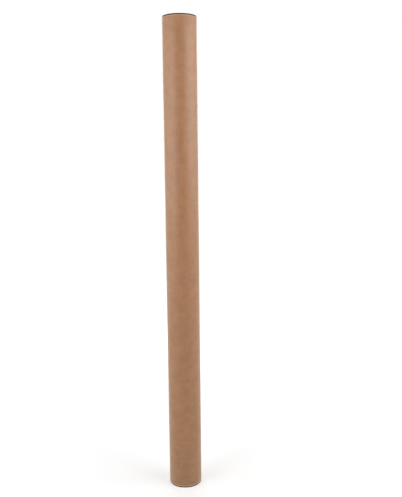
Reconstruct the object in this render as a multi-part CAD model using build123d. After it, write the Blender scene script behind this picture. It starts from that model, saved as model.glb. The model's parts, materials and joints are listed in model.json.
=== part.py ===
from build123d import *
import math
import os

# Spiral-wound postal tube, standing on end, with a push-in plug cap in each end.
# Millimetres, +Z up along the tube, origin at the middle of the lower cap's outer face.

# Tube: kraft board wound on a mandrel, glued, and cut to length
bore_diameter = 38.1
board_thickness = 2.5
tube_length = 609.6
cut_edge_break = 0.25

# Winding seam: the fine V groove where one turn of the outer ply meets the next
ply_width = 84.0
seam_width = 0.4
seam_depth = 0.15
seam_start_angle = 100

# Cap flange: the ring that seats on the cut end, just inside the tube's outer face
flange_thickness = 1.5
flange_setback = 0.3
flange_edge_break = 0.4

# Cap cup: a drafted plug, open outwards, of even wall
plug_depth = 14.0
plug_clearance = 0.35
plug_draft_angle = 1.5
lead_in_length = 2.5
lead_in_step = 0.8
cup_wall = 1.3
cup_floor = 1.4
cup_corner_break = 0.9

# Crush ribs: slim fins along the plug, with a sloping nose, that grip the bore
rib_count = 12
rib_width = 0.8
rib_length = 11.0
rib_nose_length = 2.0
rib_clearance = 0.05

# Gate mark: a shallow round well in the cup's floor with the trimmed sprue inside it
gate_well_radius = 3.0
gate_well_depth = 0.4
gate_pip_radius = 0.9
gate_pip_height = 0.25

# Worked out from the sizes above
bore_radius = bore_diameter / 2
tube_radius = bore_radius + board_thickness
tube_base_height = flange_thickness
tube_top_height = tube_base_height + tube_length
draft_slope = math.tan(math.radians(plug_draft_angle))
plug_root_radius = bore_radius - plug_clearance


def plain_tube():
    """The wall's section, with eased cut edges, revolved about Z."""
    wall = Rectangle(board_thickness, tube_length)
    wall = chamfer(wall.vertices(), cut_edge_break)
    wall_centre = bore_radius + board_thickness / 2
    section = Plane.XZ * Pos(wall_centre, tube_base_height + tube_length / 2) * wall
    return revolve(section, Axis.Z)


def winding_seam():
    """The groove's cutter: a V swept up a right-handed helix that runs out past both cut ends."""
    girth = 2 * math.pi * tube_radius
    rise_per_turn = ply_width / math.sqrt(1 - (ply_width / girth) ** 2)
    overrun = 2 * seam_width
    path = Helix(
        pitch=rise_per_turn,
        height=tube_length + 2 * overrun,
        radius=tube_radius,
        center=(0, 0, tube_base_height - overrun),
    )
    notch = Polyline((-seam_depth, 0), (seam_depth, seam_width), (seam_depth, -seam_width), close=True)
    start = Plane(path @ 0, x_dir=(1, 0, 0), z_dir=path % 0)
    return Rot(0, 0, seam_start_angle) * sweep(start * make_face(notch), path=path, is_frenet=True)


def cup_and_flange():
    """The cap's turned form. Height 0 is the face that seats on the tube's cut end, +Z is outwards."""

    def plug_radius(height):
        return plug_root_radius + height * draft_slope

    def cup_radius(height):
        return plug_radius(height) - cup_wall

    flange_radius = tube_radius - flange_setback
    edge_height = flange_thickness - flange_edge_break
    mouth_radius = cup_radius(edge_height)
    lead_in_height = lead_in_length - plug_depth
    floor_height = cup_floor - plug_depth
    corner_height = floor_height + cup_corner_break
    well_height = floor_height - gate_well_depth
    pip_height = well_height + gate_pip_height
    outline = Polyline(
        (0, -plug_depth),
        (plug_radius(lead_in_height) - lead_in_step, -plug_depth),
        (plug_radius(lead_in_height), lead_in_height),
        (plug_root_radius, 0),
        (flange_radius, 0),
        (flange_radius, edge_height),
        (flange_radius - flange_edge_break, flange_thickness),
        (mouth_radius + flange_edge_break, flange_thickness),
        (mouth_radius, edge_height),
        (cup_radius(corner_height), corner_height),
        (cup_radius(corner_height) - cup_corner_break, floor_height),
        (gate_well_radius, floor_height),
        (gate_well_radius, well_height),
        (gate_pip_radius, well_height),
        (gate_pip_radius, pip_height),
        (0, pip_height),
        close=True,
    )
    return revolve(Plane.XZ * make_face(outline), Axis.Z)


def crush_ribs():
    """The fins round the plug: each grows out of the cup's wall under the flange and slopes away at its nose."""
    buried_radius = plug_root_radius - cup_wall / 2
    crest_radius = bore_radius - rib_clearance
    side = Polyline(
        (buried_radius, 0),
        (crest_radius, 0),
        (crest_radius, rib_nose_length - rib_length),
        (buried_radius, -rib_length),
        close=True,
    )
    rib = extrude(Plane.XZ * make_face(side), rib_width / 2, both=True)
    return PolarLocations(0, rib_count) * rib


def plug_cap():
    """One moulded cap, with its ribs."""
    return cup_and_flange() + crush_ribs()


tube = plain_tube() - winding_seam()
top_cap = Pos(0, 0, tube_top_height) * plug_cap()
bottom_cap = Pos(0, 0, tube_base_height) * Rot(180, 0, 0) * plug_cap()

os.makedirs("parts", exist_ok=True)
for name, shape in {"tube": tube, "top_cap": top_cap, "bottom_cap": bottom_cap}.items():
    export_step(shape, f"parts/{name}.step")
    size = shape.bounding_box().size
    print(f"{name}: {size.X:.2f} x {size.Y:.2f} x {size.Z:.2f} mm, {shape.volume:.0f} mm3")
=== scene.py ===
# %% [markdown]
# # A wound cardboard tube with a plug cap in each end
# A postal tube is made by winding strips of glued paper board round a steel mandrel, at a slant, and
# sawing the endless tube to length. Each end is closed by a moulded plastic cap that pushes in. The
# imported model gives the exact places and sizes, so this lesson loads it first as a fixed frame and then
# dresses it: a wound tube with a real seam, cut ends that show their plies, two moulded caps, their
# finishes, and a plain white studio.

# %% Load the frame
import json
import math

import bmesh
import bpy
from mathutils import Matrix, Vector


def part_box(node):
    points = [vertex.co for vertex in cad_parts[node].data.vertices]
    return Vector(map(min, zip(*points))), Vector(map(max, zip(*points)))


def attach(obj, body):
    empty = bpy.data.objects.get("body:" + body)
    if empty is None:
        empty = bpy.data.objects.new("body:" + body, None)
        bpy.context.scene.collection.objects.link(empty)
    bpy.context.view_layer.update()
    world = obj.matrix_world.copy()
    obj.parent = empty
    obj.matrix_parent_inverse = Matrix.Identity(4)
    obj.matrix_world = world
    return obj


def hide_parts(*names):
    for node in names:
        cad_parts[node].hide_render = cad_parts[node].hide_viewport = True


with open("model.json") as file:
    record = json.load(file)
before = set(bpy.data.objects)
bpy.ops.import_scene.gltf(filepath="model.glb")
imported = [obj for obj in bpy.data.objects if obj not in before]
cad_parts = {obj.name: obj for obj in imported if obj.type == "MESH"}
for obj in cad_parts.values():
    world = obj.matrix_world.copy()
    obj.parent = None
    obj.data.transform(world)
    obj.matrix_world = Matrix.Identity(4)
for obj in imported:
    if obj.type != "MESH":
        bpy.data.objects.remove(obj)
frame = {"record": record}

MM = 0.001
UP = Vector((0, 0, 1))
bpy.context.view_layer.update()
tube_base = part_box("tube")[0].z
tube_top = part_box("tube")[1].z
mounts = {mount["name"]: mount for mount in frame["record"]["mounts"]}
tube_radius = mounts["barrel"]["dims"]["r_mm"] * MM
print(f"tube: radius {tube_radius / MM:.2f} mm, from {tube_base / MM:.1f} to {tube_top / MM:.1f} mm high")

# %% [markdown]
# ## Colours and nodes
# Colours are written as sRGB hex values, as a colour picker shows them, while shaders reckon in linear
# light, so one function turns the first into the second. Node trees could be drawn by hand in the editor,
# but in code each node needs the same three things: its kind, its settings and its inputs. One helper
# does that for every node.

# %% Helpers for colours and nodes
def linear(hex_colour):
    """An sRGB hex colour as linear red, green, blue and alpha."""
    shares = [int(hex_colour[i:i + 2], 16) / 255 for i in (1, 3, 5)]
    return [s / 12.92 if s <= 0.04045 else ((s + 0.055) / 1.055) ** 2.4 for s in shares] + [1.0]


def add_node(tree, kind, settings=None, inputs=None):
    """Adds a node, gives it its settings, and feeds each input with a value or a link."""
    node = tree.nodes.new(kind)
    for name, value in (settings or {}).items():
        setattr(node, name, value)
    for name, value in (inputs or {}).items():
        if isinstance(value, bpy.types.NodeSocket):
            tree.links.new(value, node.inputs[name])
        else:
            node.inputs[name].default_value = value
    return node


def new_material(name):
    """An empty material with its node tree and its Principled shader."""
    material = bpy.data.materials.new(name)
    material.use_nodes = True
    return material, material.node_tree, material.node_tree.nodes["Principled BSDF"]


print("white #FFFFFF is", linear("#FFFFFF")[:3], "in linear light")

# %% [markdown]
# ## Kraft liner, the tube's outside
# The outer ply is unbleached kraft paper: long brown wood fibres, pressed smooth but not coated. Seen
# close, it has soft clouds where the pulp settled unevenly, a fine grain along the strip, single fibres
# that lie slantwise on it, and a few dark specks of bark. It is matt, with a pale bloom at a slanting
# look, because loose fibre ends catch the light, and sheen gives that. The patterns have to follow the
# strip as it winds, so they read a UV map that unrolls the strip in metres: U runs along it and V across
# it. Object coordinates would be simpler, but the grain would then stand upright and ignore the winding.

# %% Kraft liner
STRIP_MAP = "strip"
ply_width = 84.0 * MM
cut_edge_break = 0.25 * MM
# The painted shade in the seam's groove is darkest this close to the strip's edge
painted_seam_shade_core = 0.1 * MM
# A Mix node's sockets for colours: the share of the second, the two colours and the result
mix_share, mix_first, mix_second, mix_result = 0, 6, 7, 2


def painted_seam_shade(tree, strip, strip_width, reach, darkest):
    """Painted shade in the seam's groove: a tone that darkens towards the strip's two edges, where V is 0
    and where it is the full width.
    """
    place_on_strip = add_node(tree, "ShaderNodeSeparateXYZ", inputs={"Vector": strip})
    to_edge = add_node(tree, "ShaderNodeMath", {"operation": "PINGPONG"},
                       {0: place_on_strip.outputs["Y"], 1: strip_width / 2})
    return add_node(tree, "ShaderNodeMapRange", {"interpolation_type": "SMOOTHSTEP"}, {
        "Value": to_edge.outputs["Value"], "From Min": painted_seam_shade_core, "From Max": reach,
        "To Min": darkest, "To Max": 1.0})


def kraft_liner(strip_width):
    """Unbleached kraft paper, calendered: matt brown with clouds, fibre grain and bark specks."""
    material, tree, surface = new_material("unbleached_kraft_liner")
    strip = add_node(tree, "ShaderNodeUVMap", {"uv_map": STRIP_MAP}).outputs["UV"]
    place = add_node(tree, "ShaderNodeTexCoord").outputs["Object"]

    # Clouds of pulp, some 12 mm across, shift the colour between two browns
    cloud_size = 12 * MM
    clouds = add_node(tree, "ShaderNodeTexNoise", {"noise_dimensions": "2D"},
                      {"Vector": strip, "Scale": 1 / cloud_size, "Detail": 4.0, "Roughness": 0.62})
    browns = add_node(tree, "ShaderNodeValToRGB", inputs={"Fac": clouds.outputs["Fac"]})
    browns.color_ramp.elements[0].position = 0.32
    browns.color_ramp.elements[0].color = linear("#9C6E4A")
    browns.color_ramp.elements[1].position = 0.70
    browns.color_ramp.elements[1].color = linear("#A87852")

    # Fibre grain along the strip: real fibres are 0.03 mm thick, drawn coarser so that they show
    grain_length = 5 * MM
    grain_thickness = 0.6 * MM
    along = add_node(tree, "ShaderNodeMapping",
                     inputs={"Vector": strip, "Scale": (1 / grain_length, 1 / grain_thickness, 1)})
    grain = add_node(tree, "ShaderNodeTexNoise", {"noise_dimensions": "2D"},
                     {"Vector": along.outputs["Vector"], "Scale": 1.0, "Detail": 3.0, "Roughness": 0.7})
    grain_tone = add_node(tree, "ShaderNodeMapRange", inputs={
        "Value": grain.outputs["Fac"], "From Min": 0.25, "From Max": 0.75, "To Min": 0.92, "To Max": 1.07})

    # Single fibres lie slantwise on the grain, some pale and some dark. A real one is 3 mm long and 0.03 mm
    # thick, drawn thicker so that it shows
    fibre_length = 3 * MM
    fibre_thickness = 0.2 * MM
    fibre_tones = []
    for slant, tone_on_fibre in ((-17, 1.11), (24, 0.88)):
        laid = add_node(tree, "ShaderNodeMapping", {"vector_type": "TEXTURE"}, {
            "Vector": strip, "Rotation": (0, 0, math.radians(slant)),
            "Scale": (fibre_length, fibre_thickness, 1)})
        fibre = add_node(tree, "ShaderNodeTexNoise", {"noise_dimensions": "2D"},
                         {"Vector": laid.outputs["Vector"], "Scale": 1.0, "Detail": 1.0})
        fibre_tones.append(add_node(tree, "ShaderNodeMapRange", {"interpolation_type": "SMOOTHSTEP"}, {
            "Value": fibre.outputs["Fac"], "From Min": 0.57, "From Max": 0.72, "To Min": 1.0,
            "To Max": tone_on_fibre}))

    # Bark specks: one cell in three of a 9 mm pattern holds a speck under a millimetre across. Its radius
    # is a share of the spacing
    speck_spacing = 9 * MM
    speck_radius_share = 0.05
    no_speck_share = 0.0001
    cells = add_node(tree, "ShaderNodeTexVoronoi", {"voronoi_dimensions": "2D"},
                     {"Vector": strip, "Scale": 1 / speck_spacing})
    lot = add_node(tree, "ShaderNodeSeparateColor", inputs={"Color": cells.outputs["Color"]})
    speck_reach = add_node(tree, "ShaderNodeMapRange", inputs={
        "Value": lot.outputs["Red"], "From Min": 0.66, "From Max": 1.0,
        "To Min": no_speck_share, "To Max": speck_radius_share})
    speck_tone = add_node(tree, "ShaderNodeMapRange", {"interpolation_type": "SMOOTHSTEP"}, {
        "Value": cells.outputs["Distance"], "From Min": 0.0, "From Max": speck_reach.outputs["Result"],
        "To Min": 0.62, "To Max": 1.0})

    # The patterns and the painted shade in the seam's groove multiply into one tone, which darkens or
    # lightens the browns
    seam_painted_shade = painted_seam_shade(tree, strip, strip_width, reach=0.6 * MM, darkest=0.93)
    tone = grain_tone.outputs["Result"]
    for factor in (speck_tone, seam_painted_shade, *fibre_tones):
        tone = add_node(tree, "ShaderNodeMath", {"operation": "MULTIPLY"},
                        {0: tone, 1: factor.outputs["Result"]}).outputs["Value"]
    paper = add_node(tree, "ShaderNodeHueSaturation",
                     inputs={"Color": browns.outputs["Color"], "Value": tone})

    # The sawn rims are rubbed pale, and the grain shows through. The lower rim's pale band is wider and
    # paler, and there it is partly a painted highlight along the foot.
    height = add_node(tree, "ShaderNodeSeparateXYZ", inputs={"Vector": place}).outputs["Z"]
    colour = paper.outputs["Color"]
    for rim, pale_rim_reach, pale_rim_share in ((tube_top, 1.4 * MM, 0.65), (tube_base, 2.4 * MM, 0.8)):
        above_rim = add_node(tree, "ShaderNodeMath", {"operation": "SUBTRACT"}, {0: height, 1: rim})
        to_rim = add_node(tree, "ShaderNodeMath", {"operation": "ABSOLUTE"},
                          {0: above_rim.outputs["Value"]})
        rim_wear_and_highlight = add_node(tree, "ShaderNodeMapRange", {"interpolation_type": "SMOOTHSTEP"}, {
            "Value": to_rim.outputs["Value"], "From Min": cut_edge_break, "From Max": pale_rim_reach,
            "To Min": pale_rim_share, "To Max": 0.0})
        colour = add_node(tree, "ShaderNodeMix", {"data_type": "RGBA"}, {
            mix_share: rim_wear_and_highlight.outputs["Result"], mix_first: colour,
            mix_second: linear("#CDB096")}).outputs[mix_result]
    tree.links.new(colour, surface.inputs["Base Color"])

    # Pressed paper has a faint, broad shine: the fibres are a little smoother than the hollows between them
    matt = add_node(tree, "ShaderNodeMapRange", inputs={
        "Value": grain.outputs["Fac"], "From Min": 0.3, "From Max": 0.7, "To Min": 0.52, "To Max": 0.42})
    tree.links.new(matt.outputs["Result"], surface.inputs["Roughness"])
    surface.inputs["IOR"].default_value = 1.5
    surface.inputs["Specular IOR Level"].default_value = 0.5
    surface.inputs["Sheen Weight"].default_value = 0.42
    surface.inputs["Sheen Tint"].default_value = linear("#FFEFD8")
    surface.inputs["Sheen Roughness"].default_value = 0.5

    # The paper's tooth, drawn as the same grain with a finer grit in it
    grit_size = 0.7 * MM
    tooth_height = 0.06 * MM
    grit = add_node(tree, "ShaderNodeTexNoise", {"noise_dimensions": "2D"},
                    {"Vector": strip, "Scale": 1 / grit_size, "Detail": 2.0})
    tooth = add_node(tree, "ShaderNodeMath", {"operation": "ADD"},
                     {0: grain.outputs["Fac"], 1: grit.outputs["Fac"]})
    bump = add_node(tree, "ShaderNodeBump", inputs={
        "Strength": 0.35, "Distance": tooth_height, "Height": tooth.outputs["Value"]})
    tree.links.new(bump.outputs["Normal"], surface.inputs["Normal"])
    return material


outside_paper = kraft_liner(ply_width)
print(f"{outside_paper.name}: {len(outside_paper.node_tree.nodes)} nodes")

# %% [markdown]
# ## Core board, the inside and the sawn edge
# Under the liner, the wall is recycled core board: greyer, rougher, with bits of old print and wood in
# it. Inside the bore it shows as a plain wound face. On the sawn edge the plies show as rings, with a
# thin dark line of dried glue between each two. The rings follow the distance from the tube's axis, so
# that finish reads Object coordinates and needs no map.

# %% Core board
bore_radius = 19.05 * MM
ply_count = 5
ply_thickness = (tube_radius - bore_radius) / ply_count


def core_board(strip_width):
    """Recycled core board, rolled: a matt grey brown, mottled, with a soft tooth."""
    material, tree, surface = new_material("recycled_core_board")
    strip = add_node(tree, "ShaderNodeUVMap", {"uv_map": STRIP_MAP}).outputs["UV"]
    mottle_size = 6 * MM
    mottle_height = 0.08 * MM
    mottle = add_node(tree, "ShaderNodeTexNoise", {"noise_dimensions": "2D"},
                      {"Vector": strip, "Scale": 1 / mottle_size, "Detail": 5.0, "Roughness": 0.7})
    greys = add_node(tree, "ShaderNodeValToRGB", inputs={"Fac": mottle.outputs["Fac"]})
    greys.color_ramp.elements[0].position = 0.3
    greys.color_ramp.elements[0].color = linear("#8E765F")
    greys.color_ramp.elements[1].position = 0.72
    greys.color_ramp.elements[1].color = linear("#A58D74")
    # Painted shade in the groove of the inner ply's seam, deeper than on the outside
    seam_painted_shade = painted_seam_shade(tree, strip, strip_width, reach=0.8 * MM, darkest=0.55)
    board = add_node(tree, "ShaderNodeHueSaturation", inputs={
        "Color": greys.outputs["Color"], "Value": seam_painted_shade.outputs["Result"]})
    tree.links.new(board.outputs["Color"], surface.inputs["Base Color"])
    surface.inputs["Roughness"].default_value = 0.85
    surface.inputs["IOR"].default_value = 1.5
    bump = add_node(tree, "ShaderNodeBump", inputs={
        "Strength": 0.4, "Distance": mottle_height, "Height": mottle.outputs["Fac"]})
    tree.links.new(bump.outputs["Normal"], surface.inputs["Normal"])
    return material


def sawn_board_edge():
    """Board cut across its plies: pale torn fibre, with a dark line of dried glue at each ply."""
    material, tree, surface = new_material("sawn_board_edge")
    place = add_node(tree, "ShaderNodeTexCoord").outputs["Object"]
    axis = add_node(tree, "ShaderNodeSeparateXYZ", inputs={"Vector": place})
    flat = add_node(tree, "ShaderNodeCombineXYZ", inputs={"X": axis.outputs["X"], "Y": axis.outputs["Y"]})
    radius = add_node(tree, "ShaderNodeVectorMath", {"operation": "LENGTH"}, {0: flat.outputs["Vector"]})
    glue_core = 0.02 * MM
    glue_reach = 0.12 * MM
    depth = add_node(tree, "ShaderNodeMath", {"operation": "SUBTRACT"},
                     {0: radius.outputs["Value"], 1: bore_radius})
    to_glue = add_node(tree, "ShaderNodeMath", {"operation": "PINGPONG"},
                       {0: depth.outputs["Value"], 1: ply_thickness / 2})
    glue_tone = add_node(tree, "ShaderNodeMapRange", {"interpolation_type": "SMOOTHSTEP"}, {
        "Value": to_glue.outputs["Value"], "From Min": glue_core, "From Max": glue_reach,
        "To Min": 0.6, "To Max": 1.0})
    fray_size = 0.8 * MM
    fray_height = 0.1 * MM
    fray = add_node(tree, "ShaderNodeTexNoise", inputs={
        "Vector": place, "Scale": 1 / fray_size, "Detail": 4.0, "Roughness": 0.65})
    fibres = add_node(tree, "ShaderNodeValToRGB", inputs={"Fac": fray.outputs["Fac"]})
    fibres.color_ramp.elements[0].position = 0.3
    fibres.color_ramp.elements[0].color = linear("#A98D70")
    fibres.color_ramp.elements[1].position = 0.7
    fibres.color_ramp.elements[1].color = linear("#CDB599")
    edge = add_node(tree, "ShaderNodeHueSaturation", inputs={
        "Color": fibres.outputs["Color"], "Value": glue_tone.outputs["Result"]})
    tree.links.new(edge.outputs["Color"], surface.inputs["Base Color"])
    surface.inputs["Roughness"].default_value = 0.9
    surface.inputs["IOR"].default_value = 1.5
    bump = add_node(tree, "ShaderNodeBump", inputs={
        "Strength": 0.5, "Distance": fray_height, "Height": fray.outputs["Fac"]})
    tree.links.new(bump.outputs["Normal"], surface.inputs["Normal"])
    return material


turn_rise = ply_width / math.sqrt(1 - (ply_width / (math.tau * tube_radius)) ** 2)
inner_slant = math.atan(turn_rise / (math.tau * bore_radius))
inside_board = core_board(turn_rise * math.cos(inner_slant))
cut_board = sawn_board_edge()
print(f"one turn of the strip climbs {turn_rise / MM:.2f} mm")

# %% [markdown]
# ## Winding the plies
# A strip's turn is a straight upright line, as tall as the climb of one turn, carried round the axis and
# up at the same time. That is what the spin operator does when it is given a step upwards, so the tube is
# wound here as it is in the works. A cylinder with a painted line would be quicker, but the seam would
# have no depth. The line's two ends dip into the board, so that neighbouring turns meet in a fine groove,
# and its middle dips by a hair where the seam of the ply underneath shows through. The inner ply is wound
# the same way, facing the bore.

# %% Wind the outer and inner plies
seam_width = 0.4 * MM
seam_depth = 0.15 * MM
seam_start_angle = math.radians(100)
inner_start_angle = math.radians(230)
hidden_seam_width = 4.0 * MM
hidden_seam_dip = 0.035 * MM
steps_per_turn = 120
turn_weld = 0.01 * MM
wind_start = tube_base - 2 * seam_width
turns = math.ceil((tube_top - wind_start) / turn_rise) + 1


def wind_ply(mesh, radius, dip_side, start_angle):
    """Winds one strip round the axis. dip_side is -1 where the seam dips towards the axis, 1 where away."""
    slant = math.atan(turn_rise / (math.tau * radius))
    lip = seam_width / 2 / math.cos(slant)
    middle = turn_rise / 2
    seam_foot = radius + dip_side * seam_depth
    hidden_foot = radius + dip_side * hidden_seam_dip
    upright = [
        (seam_foot, 0),
        (radius, lip),
        (radius, middle - hidden_seam_width / 2),
        (hidden_foot, middle),
        (radius, middle + hidden_seam_width / 2),
        (radius, turn_rise - lip),
        (seam_foot, turn_rise),
    ]
    corners = [mesh.verts.new((r, 0, wind_start - turn_rise + z)) for r, z in upright]
    edges = [mesh.edges.new(pair) for pair in zip(corners, corners[1:])]
    bmesh.ops.rotate(mesh, verts=corners, matrix=Matrix.Rotation(start_angle, 3, "Z"))
    bmesh.ops.spin(mesh, geom=corners + edges, axis=UP, dvec=UP * turn_rise / steps_per_turn,
                   angle=math.tau * turns, steps=turns * steps_per_turn)


tube_mesh = bmesh.new()
wind_ply(tube_mesh, tube_radius, -1, seam_start_angle)
wind_ply(tube_mesh, bore_radius, 1, inner_start_angle)
bmesh.ops.remove_doubles(tube_mesh, verts=tube_mesh.verts, dist=turn_weld)
print(f"wound {turns} turns: {len(tube_mesh.faces)} faces")

# %% [markdown]
# ## Sawing the tube to length
# A saw takes the winding off square at both ends. Two bisect planes do the same, just short of the true
# ends, which leaves room for the eased rim. The cut face itself is drawn inwards from the outer rim, ring
# by ring, with a shallow nick at each line of glue, and joined to the bore by a bridge.

# %% Saw both ends and close them
rim_steps = 3
glue_nick_width = 0.1 * MM
glue_nick_depth = 0.06 * MM
wall_middle = (tube_radius + bore_radius) / 2
outside_index, inside_index, edge_index = 0, 1, 2
weld = 0.001 * MM
rim_weld = 2 * weld


def from_axis(point):
    """A point's distance from the tube's axis."""
    return math.hypot(point.x, point.y)


def cut_face_rings():
    """The cut face from the outer rim to the bore, as pairs of radius and depth below the cut."""
    quarter = [math.pi / 2 * step / rim_steps for step in range(1, rim_steps + 1)]
    outer_rim = [(tube_radius - cut_edge_break * (1 - math.cos(a)), cut_edge_break * (1 - math.sin(a)))
                 for a in quarter]
    rings = list(outer_rim)
    for ply in range(1, ply_count):
        glue_line = tube_radius - ply * ply_thickness
        rings += [
            (glue_line + glue_nick_width, 0),
            (glue_line, glue_nick_depth),
            (glue_line - glue_nick_width, 0),
        ]
    rings += [(tube_radius + bore_radius - radius, depth) for radius, depth in reversed(outer_rim)]
    return rings


def close_end(mesh, end_height, inwards):
    """Draws the cut face from the outer loop to the bore's. inwards is 1 or -1: up or down into the tube."""
    loop_height = end_height + inwards * cut_edge_break
    loop = [e for e in mesh.edges if e.is_boundary and abs(e.verts[0].co.z - loop_height) < seam_depth
            and abs(e.verts[1].co.z - loop_height) < seam_depth]
    ring = [e for e in loop if from_axis(e.verts[0].co) > wall_middle]
    bore_loop = [e for e in loop if from_axis(e.verts[0].co) < wall_middle]
    for radius, depth in cut_face_rings():
        drawn = bmesh.ops.extrude_edge_only(mesh, edges=ring)["geom"]
        ring = [g for g in drawn if isinstance(g, bmesh.types.BMEdge) and g.is_boundary]
        for vert in [g for g in drawn if isinstance(g, bmesh.types.BMVert)]:
            out = Vector((vert.co.x, vert.co.y, 0)).normalized() * radius
            vert.co = out + UP * (end_height + inwards * depth)
    bmesh.ops.bridge_loops(mesh, edges=ring + bore_loop)


for face in tube_mesh.faces:
    faces_out = from_axis(face.calc_center_median()) > wall_middle
    face.material_index = outside_index if faces_out else inside_index
for height, direction in ((tube_top - cut_edge_break, UP), (tube_base + cut_edge_break, -UP)):
    everything = tube_mesh.verts[:] + tube_mesh.edges[:] + tube_mesh.faces[:]
    bmesh.ops.bisect_plane(tube_mesh, geom=everything, dist=weld, plane_co=UP * height,
                           plane_no=direction, clear_outer=True)
wound_faces = set(tube_mesh.faces)
close_end(tube_mesh, tube_top, -1)
close_end(tube_mesh, tube_base, 1)
for face in tube_mesh.faces:
    if face not in wound_faces:
        face.material_index = edge_index
bmesh.ops.remove_doubles(tube_mesh, verts=tube_mesh.verts, dist=rim_weld)
bmesh.ops.recalc_face_normals(tube_mesh, faces=tube_mesh.faces)
open_edges = sum(not edge.is_manifold for edge in tube_mesh.edges)
print(f"sawn tube: {len(tube_mesh.faces)} faces, {open_edges} open edges, "
      f"{tube_mesh.calc_volume() / MM ** 3:.0f} mm3 of board")

# %% [markdown]
# ## Unrolling the strip
# The paper's patterns need to know, for each corner of each face, how far along the strip it lies and how
# far across. An automatic unwrap would cut the winding into odd islands. The winding itself gives the
# answer: the turn that a point belongs to follows from its angle and height, and the strip's slant turns
# that into lengths.

# %% Unroll the strip into the UV map
def unroll(face, radius, start_angle, strip_map):
    """Writes the strip's own coordinates, in metres, on one face of a wound ply."""
    slant = math.atan(turn_rise / (math.tau * radius))
    centre = face.calc_center_median()
    centre_angle = math.atan2(centre.y, centre.x)
    climb = (centre.z - wind_start) / turn_rise - (centre_angle - start_angle) / math.tau
    turn = math.floor(climb)
    for loop in face.loops:
        point = loop.vert.co
        swing = math.atan2(point.y, point.x) - centre_angle
        swing = (swing + math.pi) % math.tau - math.pi
        wound = (centre_angle + swing - start_angle) / math.tau + turn
        above_seam = point.z - wind_start - wound * turn_rise
        along = wound * turn_rise / math.sin(slant) + above_seam * math.sin(slant)
        loop[strip_map].uv = (along, above_seam * math.cos(slant))


strip_layer = tube_mesh.loops.layers.uv.new(STRIP_MAP)
for face in tube_mesh.faces:
    if face.material_index == outside_index:
        unroll(face, tube_radius, seam_start_angle, strip_layer)
    elif face.material_index == inside_index:
        unroll(face, bore_radius, inner_start_angle, strip_layer)
across = [loop[strip_layer].uv.y for face in tube_mesh.faces for loop in face.loops]
print(f"the strip runs from {min(across) / MM:.2f} to {max(across) / MM:.2f} mm across")

# %% [markdown]
# ## From a mesh to a piece
# Each finished mesh becomes an object at the origin. Its faces are shaded smooth, apart from edges that
# turn by more than a set angle, such as the lips of the seam. The piece then rides on its body and stands
# for the plain solid of the imported model, which it hides.

# %% Make the tube a piece
crisp_angle = math.radians(30)


def make_piece(mesh, name, materials, body, node):
    """Turns a bmesh into a smooth-shaded object that stands for a solid and rides on its body."""
    data = bpy.data.meshes.new(name)
    mesh.to_mesh(data)
    mesh.free()
    for material in materials:
        data.materials.append(material)
    data.shade_smooth()
    data.set_sharp_from_angle(angle=crisp_angle)
    piece = bpy.data.objects.new(name, data)
    bpy.context.scene.collection.objects.link(piece)
    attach(piece, body)
    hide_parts(node)
    print(f"{name}: {len(data.polygons)} faces, {', '.join(m.name for m in materials)}")


make_piece(tube_mesh, "wound_tube", [outside_paper, inside_board, cut_board], "tube", "tube")

# %% [markdown]
# ## Black polyethylene, the caps
# The caps are injection moulded in low-density polyethylene, coloured black right through. It is a soft,
# slightly waxy plastic: dark, with a broad satin shine. The mould was left with a fine sparked grain, and
# the plastic shows faint drifts where it flowed in from the gate. A flat black would look like a hole in
# the picture, so the shine is what draws the form.

# %% Black polyethylene
def black_polyethylene():
    """Moulded low-density polyethylene: near black, satin, with a fine mould grain."""
    material, tree, surface = new_material("moulded_black_polyethylene")
    place = add_node(tree, "ShaderNodeTexCoord").outputs["Object"]
    drift_size = 7 * MM
    drift = add_node(tree, "ShaderNodeTexNoise", inputs={
        "Vector": place, "Scale": 1 / drift_size, "Detail": 3.0, "Roughness": 0.55})
    blacks = add_node(tree, "ShaderNodeValToRGB", inputs={"Fac": drift.outputs["Fac"]})
    blacks.color_ramp.elements[0].position = 0.3
    blacks.color_ramp.elements[0].color = linear("#0D0C0B")
    blacks.color_ramp.elements[1].position = 0.75
    blacks.color_ramp.elements[1].color = linear("#151312")
    tree.links.new(blacks.outputs["Color"], surface.inputs["Base Color"])
    satin = add_node(tree, "ShaderNodeMapRange", inputs={
        "Value": drift.outputs["Fac"], "From Min": 0.3, "From Max": 0.7, "To Min": 0.52, "To Max": 0.64})
    tree.links.new(satin.outputs["Result"], surface.inputs["Roughness"])
    surface.inputs["IOR"].default_value = 1.51
    surface.inputs["Specular IOR Level"].default_value = 0.15
    spark_size = 0.5 * MM
    spark_height = 0.03 * MM
    spark = add_node(tree, "ShaderNodeTexNoise",
                     inputs={"Vector": place, "Scale": 1 / spark_size, "Detail": 2.0})
    bump = add_node(tree, "ShaderNodeBump", inputs={
        "Strength": 0.25, "Distance": spark_height, "Height": spark.outputs["Fac"]})
    tree.links.new(bump.outputs["Normal"], surface.inputs["Normal"])
    return material


cap_plastic = black_polyethylene()
print(f"{cap_plastic.name}: {len(cap_plastic.node_tree.nodes)} nodes")

# %% [markdown]
# ## Turning the cap
# The cap is a cup with a flange. Both are round, so half of its section is drawn as a line of corners,
# the corners are rounded by a vertex bevel, and the line is spun about the axis. A screw modifier would
# do as well, but the operator leaves real faces, and the ribs are drawn out of those. Height 0 is the
# face that seats on the sawn end.

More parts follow.
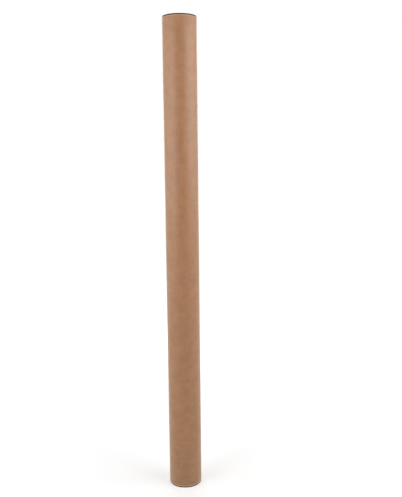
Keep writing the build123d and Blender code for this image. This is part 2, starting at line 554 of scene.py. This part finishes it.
# %% Turn the cap's cup and flange
flange_thickness = tube_base
flange_setback = 0.3 * MM
flange_edge_break = 0.4 * MM
plug_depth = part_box("bottom_cap")[1].z - flange_thickness
plug_clearance = 0.35 * MM
plug_draft_angle = math.radians(1.5)
lead_in_length = 2.5 * MM
lead_in_step = 0.8 * MM
cup_wall = 1.3 * MM
cup_floor = 1.4 * MM
cup_corner_break = 0.9 * MM
small_break = 0.15 * MM
gate_well_radius = 3.0 * MM
gate_well_depth = 0.4 * MM
gate_pip_radius = 0.9 * MM
gate_pip_height = 0.25 * MM
rib_count = 12
rib_length = 11.0 * MM
rib_nose_length = 2.0 * MM
rib_clearance = 0.05 * MM
rib_crest = bore_radius - rib_clearance
cap_steps = 144
round_steps = 4
round_profile = 0.5


def plug_radius(height):
    """The plug's outer radius, which narrows into the tube by the mould's draft."""
    return bore_radius - plug_clearance + height * math.tan(plug_draft_angle)


def cap_outline():
    """Half of the cap's section, as corners of radius, height and rounding."""
    flange_radius = tube_radius - flange_setback
    lead_in = lead_in_length - plug_depth
    floor = cup_floor - plug_depth
    well = floor - gate_well_depth
    return [
        (0, -plug_depth, 0),
        (plug_radius(lead_in) - lead_in_step, -plug_depth, flange_edge_break),
        (plug_radius(lead_in), lead_in, small_break),
        (plug_radius(-rib_length), -rib_length, 0),
        (plug_radius(rib_nose_length - rib_length), rib_nose_length - rib_length, 0),
        (plug_radius(0), 0, 0),
        (rib_crest, 0, 0),
        (flange_radius, 0, small_break),
        (flange_radius, flange_thickness, flange_edge_break),
        (plug_radius(flange_thickness) - cup_wall, flange_thickness, flange_edge_break),
        (plug_radius(floor) - cup_wall, floor, cup_corner_break),
        (gate_well_radius, floor, small_break),
        (gate_well_radius, well, small_break),
        (gate_pip_radius, well, 0),
        (gate_pip_radius, well + gate_pip_height, small_break),
        (0, well + gate_pip_height, 0),
    ]


def turned_cap():
    """The cap's cup and flange, spun about the axis."""
    mesh = bmesh.new()
    corners = [mesh.verts.new((radius, 0, height)) for radius, height, rounding in cap_outline()]
    roundings = [rounding for radius, height, rounding in cap_outline()]
    for pair in zip(corners, corners[1:]):
        mesh.edges.new(pair)
    for vert, rounding in zip(corners, roundings):
        if rounding:
            bmesh.ops.bevel(mesh, geom=[vert], offset=rounding, affect="VERTICES", segments=round_steps,
                            profile=round_profile)
    half_step = Matrix.Rotation(math.pi / cap_steps, 3, "Z")
    bmesh.ops.rotate(mesh, verts=mesh.verts, matrix=half_step)
    bmesh.ops.spin(mesh, geom=mesh.verts[:] + mesh.edges[:], axis=UP, angle=math.tau, steps=cap_steps,
                   use_merge=True)
    bmesh.ops.remove_doubles(mesh, verts=mesh.verts, dist=weld)
    return mesh


plain_cap = turned_cap()
print(f"turned cap: {len(plain_cap.faces)} faces, plug {plug_depth / MM:.1f} mm deep")
plain_cap.free()

# %% [markdown]
# ## Drawing out the crush ribs
# Slim ribs along the plug are a little too large for the bore, so they crush and grip. Separate bars
# stuck into the wall would leave hidden faces inside it. Here the wall's own faces, one column in twelve,
# are extruded outwards and their lower edge stays on the wall, which gives the rib its sloping nose.
# Under the flange the rib's top and the flange's face meet, so both are removed there and the edges join.

# %% Draw out the ribs and seat both caps
def on_a_rib(point):
    """True in the columns of the plug that carry a rib."""
    angle = math.atan2(point.y, point.x) % (math.tau / rib_count)
    return min(angle, math.tau / rib_count - angle) < math.pi / cap_steps


def draw_ribs(mesh):
    """Extrudes the rib columns of the plug's wall out to the bore."""
    centres = {face: face.calc_center_median() for face in mesh.faces}
    wall = [face for face, centre in centres.items() if on_a_rib(centre)
            and -rib_length < centre.z < -weld
            and plug_radius(-plug_depth) < from_axis(centre) < rib_crest]
    drawn = bmesh.ops.extrude_face_region(mesh, geom=wall)["geom"]
    bmesh.ops.delete(mesh, geom=wall, context="FACES")
    for vert in [g for g in drawn if isinstance(g, bmesh.types.BMVert)]:
        if vert.co.z > -rib_length + weld:
            crest = Vector((vert.co.x, vert.co.y, 0)).normalized() * rib_crest
            vert.co = crest + UP * vert.co.z
    bmesh.ops.remove_doubles(mesh, verts=mesh.verts, dist=weld)
    centres = {face: face.calc_center_median() for face in mesh.faces}
    under_flange = [face for face, centre in centres.items() if on_a_rib(centre)
                    and abs(centre.z) < weld and from_axis(centre) < rib_crest]
    bmesh.ops.delete(mesh, geom=under_flange, context="FACES")


for name, node, seat, turn in (
    ("upper_plug_cap", "top_cap", tube_top, 0),
    ("lower_plug_cap", "bottom_cap", tube_base, math.pi),
):
    cap = turned_cap()
    draw_ribs(cap)
    bmesh.ops.recalc_face_normals(cap, faces=cap.faces)
    bmesh.ops.rotate(cap, verts=cap.verts, matrix=Matrix.Rotation(turn, 3, "X"))
    bmesh.ops.translate(cap, verts=cap.verts, vec=UP * seat)
    open_edges = sum(not edge.is_manifold for edge in cap.edges)
    print(f"{name}: {open_edges} open edges, {cap.calc_volume() / MM ** 3:.0f} mm3 of plastic")
    make_piece(cap, name, [cap_plastic], node, node)

# %% [markdown]
# ## Floor and backdrop
# The tube stands on a white floor that runs out into a white background. Piling up light until both go
# white would wash out the paper, so the background shows white only to rays that the camera sees,
# straight or in a reflection. The floor is part glow and part paint for those rays: the paint keeps the
# soft shadow round the foot. The lamps reach only the floor near the tube, so the glow grows with the
# distance and the white stays even.

# %% Lay the floor and light the background
floor_half_width = 6.0
sky_light = 0.2
lit_reach, near_glow = 0.25, 0.42
dim_reach, far_glow = 0.9, 0.9


def seen_by_camera(tree):
    """1 for rays that the camera sees straight or in a reflection or glass, and 0 for other light."""
    rays = add_node(tree, "ShaderNodeLightPath").outputs
    shine = add_node(tree, "ShaderNodeMath", {"operation": "MAXIMUM"},
                     {0: rays["Is Glossy Ray"], 1: rays["Is Transmission Ray"]})
    return add_node(tree, "ShaderNodeMath", {"operation": "MAXIMUM"},
                    {0: rays["Is Camera Ray"], 1: shine.outputs["Value"]}).outputs["Value"]


def white_floor():
    """Matt white floor paint, with a glow for the camera that leaves room for a shadow."""
    material, tree, surface = new_material("matt_white_floor")
    tree.nodes.remove(surface)
    paint = add_node(tree, "ShaderNodeBsdfDiffuse", inputs={"Color": linear("#D8D8D8")})
    thin_paint = add_node(tree, "ShaderNodeBsdfDiffuse", inputs={"Color": linear("#CCCCCC")})
    place = add_node(tree, "ShaderNodeTexCoord").outputs["Object"]
    from_tube = add_node(tree, "ShaderNodeVectorMath", {"operation": "LENGTH"}, {0: place})
    fade = add_node(tree, "ShaderNodeMapRange", {"interpolation_type": "SMOOTHSTEP"}, {
        "Value": from_tube.outputs["Value"], "From Min": lit_reach, "From Max": dim_reach,
        "To Min": near_glow, "To Max": far_glow})
    glow = add_node(tree, "ShaderNodeEmission", inputs={"Strength": fade.outputs["Result"]})
    shown = add_node(tree, "ShaderNodeAddShader",
                     inputs={0: thin_paint.outputs["BSDF"], 1: glow.outputs["Emission"]})
    both = add_node(tree, "ShaderNodeMixShader", inputs={
        "Fac": seen_by_camera(tree), 1: paint.outputs["BSDF"], 2: shown.outputs["Shader"]})
    tree.links.new(both.outputs["Shader"], tree.nodes["Material Output"].inputs["Surface"])
    return material


floor_mesh = bmesh.new()
bmesh.ops.create_grid(floor_mesh, x_segments=1, y_segments=1, size=floor_half_width)
floor_data = bpy.data.meshes.new("floor")
floor_mesh.to_mesh(floor_data)
floor_mesh.free()
floor_data.materials.append(white_floor())
floor = bpy.data.objects.new("floor", floor_data)
bpy.context.scene.collection.objects.link(floor)

world = bpy.data.worlds.new("white_studio")
world.use_nodes = True
bpy.context.scene.world = world
sky = world.node_tree
background = sky.nodes["Background"]
background.inputs["Color"].default_value = linear("#FFFFFF")
strength = add_node(sky, "ShaderNodeMapRange", inputs={
    "Value": seen_by_camera(sky), "To Min": sky_light, "To Max": 1.0})
sky.links.new(strength.outputs["Result"], background.inputs["Strength"])
print(f"floor {2 * floor_half_width:.0f} m wide, sky light {sky_light}")

# %% [markdown]
# ## Lamps
# The paper is palest towards both sides of the tube and deepest along the middle, and it darkens towards
# the foot. That is the mark of two broad soft boxes, one to each side and a little forward, hung above
# the middle of the tube. The right one is stronger and hangs higher. One large lamp by the camera would
# flatten the roundness, so a narrow fill on each side of it lifts the middle just enough. A fill behind
# does the same for the back, and a weak one overhead shows the cut ends, the cups and the bore. No lamp
# shows to the camera.

# %% Hang the soft boxes
box_height = 0.6
box_distance = 0.85
top_fill_width = 0.8
top_fill_height = 1.5


def area_lamp(name, width, height, glow):
    """A flat lamp that points straight down. Its power gives its whole face the brightness of glow."""
    light = bpy.data.lights.new(name, "AREA")
    light.shape = "RECTANGLE"
    light.size = width
    light.size_y = height
    light.energy = glow * math.pi * width * height
    lamp = bpy.data.objects.new(name, light)
    lamp.visible_camera = False
    bpy.context.scene.collection.objects.link(lamp)
    print(f"{name}: {light.energy:.2f} W")
    return lamp


def soft_box(name, bearing, middle, width, glow):
    """A soft box at a bearing from the camera's side, its middle at a height, facing the tube's axis."""
    lamp = area_lamp(name, width, box_height, glow)
    turn = math.radians(bearing)
    lamp.location = (box_distance * math.sin(turn), -box_distance * math.cos(turn), middle)
    aim = Vector((-lamp.location.x, -lamp.location.y, 0))
    lamp.rotation_euler = aim.to_track_quat("-Z", "Y").to_euler()


soft_box("left_soft_box", bearing=-75, middle=0.53, width=0.9, glow=2.55)
soft_box("right_soft_box", bearing=75, middle=0.65, width=0.9, glow=3.85)
soft_box("left_fill", bearing=-45, middle=0.6, width=0.4, glow=3.1)
soft_box("right_fill", bearing=45, middle=0.75, width=0.4, glow=1.8)
soft_box("back_fill", bearing=180, middle=0.55, width=0.9, glow=2.8)
top_fill = area_lamp("top_fill", top_fill_width, top_fill_width, glow=1.3)
top_fill.location.z = top_fill_height

# %% [markdown]
# ## Camera
# The view comes from fitting a pinhole camera to the tube's outline: how far its two edges draw together
# towards the foot and how deeply its ends bow give the distance, the height and the lens. The camera
# stands some 80 cm off at about three quarters of the tube's height, looks a little down, and is turned a
# little so that the tube sits left of the middle of the picture.

# %% Set the camera
camera_distance = 820.8 * MM
camera_height = 448.2 * MM
camera_pitch = math.radians(8.71)
camera_yaw = math.radians(1.68)
camera_roll = math.radians(0.56)
focal_length_mm = 46.11
sensor_width_mm = 36.0
lens = bpy.data.cameras.new("camera")
lens.lens = focal_length_mm
lens.sensor_width = sensor_width_mm
camera = bpy.data.objects.new("camera", lens)
aim = (Matrix.Rotation(-camera_yaw, 3, "Z") @ Matrix.Rotation(math.pi / 2 - camera_pitch, 3, "X")
       @ Matrix.Rotation(-camera_roll, 3, "Z"))
camera.matrix_world = Matrix.Translation((0, -camera_distance, camera_height)) @ aim.to_4x4()
bpy.context.scene.collection.objects.link(camera)
bpy.context.scene.camera = camera
bpy.context.scene.view_settings.view_transform = "Standard"
print(f"camera: {focal_length_mm} mm lens, {camera_distance / MM:.0f} mm from the axis")
